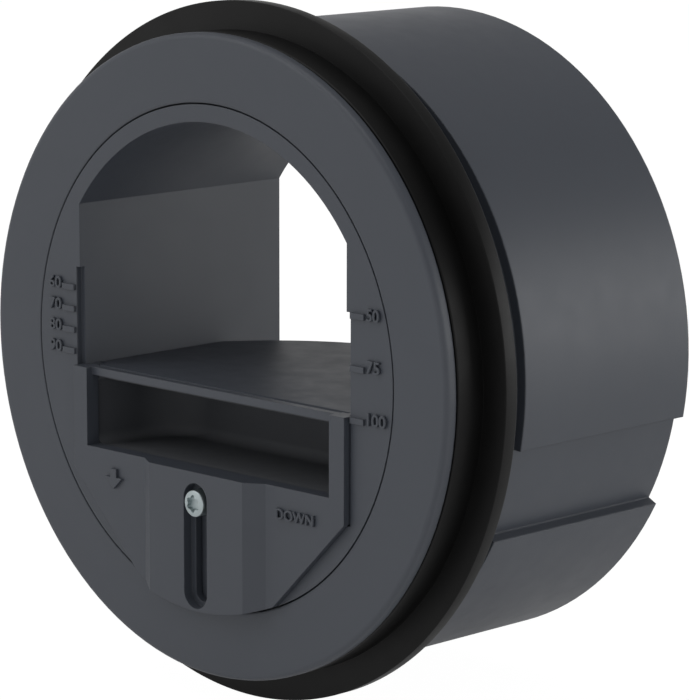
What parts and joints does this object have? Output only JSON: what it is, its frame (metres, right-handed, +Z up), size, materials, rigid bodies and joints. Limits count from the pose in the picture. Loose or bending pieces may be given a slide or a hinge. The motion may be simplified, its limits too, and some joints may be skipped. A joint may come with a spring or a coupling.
{
  "type": "constant airflow regulator",
  "caption": "Round duct regulator: ringed sleeve with a lip seal, arched air passage, slider with inlet and slotted boss, and a hinged flap raised by a soft bladder.",
  "frame": {"origin": "on the duct axis, level with the front edge of the raised shells, where the spigot begins", "axes": "+Z up, +Y back along the duct (the way the air flows), +X right for someone facing the front"},
  "size_m": [0.1284, 0.0673, 0.1284],
  "materials": {
    "grey_plastic": "dark slate grey moulded plastic, fine satin",
    "flap_plastic": "dark slate grey moulded plastic, smoother satin",
    "black_rubber": "black moulded rubber",
    "bladder_silicone": "thin dark grey silicone",
    "zinc_steel": "zinc plated",
    "pin_steel": "drawn stainless rod"
  },
  "bodies": {
    "casing": {"duct_sleeve": "grey_plastic", "lip_seal": "black_rubber", "regulator_core": "grey_plastic"},
    "slider": {"slider": "grey_plastic", "bladder_tray": "grey_plastic", "bladder": "bladder_silicone", "hinge_pin": "pin_steel"},
    "flap": {"flap": "flap_plastic"},
    "screw": {"clamp_screw": "zinc_steel"}
  },
  "joints": [
    {"name": "slider_slide", "type": "slide", "parent": "casing", "child": "slider", "axis": [0, 0, 1], "range_m": [0, 0.017]},
    {"name": "flap_hinge", "type": "hinge", "parent": "slider", "child": "flap", "pos_m": [0, -0.0157, -0.00615], "axis": [1, 0, 0], "range_deg": [0, 25]},
    {"name": "screw_turn", "type": "hinge", "parent": "casing", "child": "screw", "pos_m": [0, -0.0227, -0.02605], "axis": [0, -1, 0], "range_deg": [0, 360]}
  ]
}
